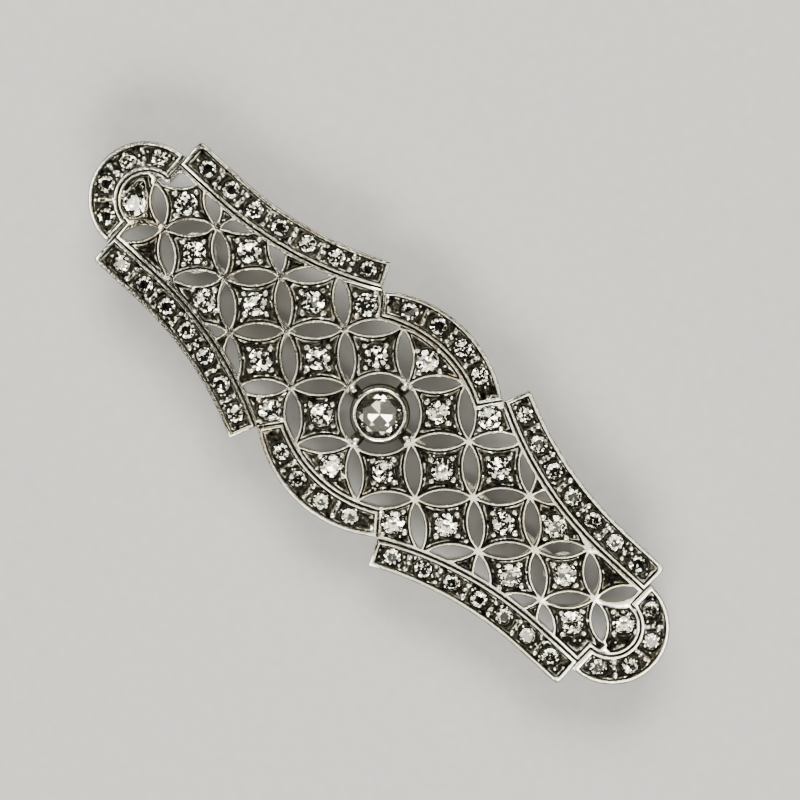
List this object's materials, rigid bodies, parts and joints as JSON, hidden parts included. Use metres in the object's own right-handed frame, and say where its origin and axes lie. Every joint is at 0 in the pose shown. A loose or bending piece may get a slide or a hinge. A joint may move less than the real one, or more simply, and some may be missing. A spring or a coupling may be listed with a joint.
{
  "type": "mantilla brooch",
  "caption": "Long openwork silver brooch with a lattice of concave diamonds and pierced lenses, stone-set bands and arches, and a round stone in a raised collet.",
  "frame": {"origin": "centre of the bounding box's base, under the centre stone, on the surface that the pin fitting rests on", "axes": "+X along the brooch's length, +Y across it, +Z out of its stone-set front"},
  "size_m": [0.07, 0.0226, 0.0076],
  "materials": {
    "silver": "oxidised silver, polished on its edges and dark in its recesses",
    "centre_gem": "colourless old cut stone with sharp facets",
    "small_gem": "colourless cut stones"
  },
  "bodies": {
    "root": {"openwork_plaque": "silver", "brooch_pin": "silver", "centre_stone": "centre_gem", "side_stones_1": "small_gem", "side_stones_2": "small_gem", "side_stones_3": "small_gem", "side_stones_4": "small_gem", "arch_stones_1": "small_gem", "arch_stones_2": "small_gem", "end_stones_1": "small_gem", "end_stones_2": "small_gem", "lattice_stone_01": "small_gem", "lattice_stone_02": "small_gem", "lattice_stone_03": "small_gem", "lattice_stone_04": "small_gem", "lattice_stone_05": "small_gem", "lattice_stone_06": "small_gem", "lattice_stone_07": "small_gem", "lattice_stone_08": "small_gem", "lattice_stone_09": "small_gem", "lattice_stone_10": "small_gem", "lattice_stone_11": "small_gem", "lattice_stone_12": "small_gem", "lattice_stone_13": "small_gem", "lattice_stone_14": "small_gem", "lattice_stone_15": "small_gem", "lattice_stone_16": "small_gem", "lattice_stone_17": "small_gem", "lattice_stone_18": "small_gem", "lattice_stone_19": "small_gem", "lattice_stone_20": "small_gem", "lattice_stone_21": "small_gem", "lattice_stone_22": "small_gem", "lattice_stone_23": "small_gem", "lattice_stone_24": "small_gem", "lattice_stone_25": "small_gem", "lattice_stone_26": "small_gem", "lattice_stone_27": "small_gem", "lattice_stone_28": "small_gem"}
  },
  "joints": []
}
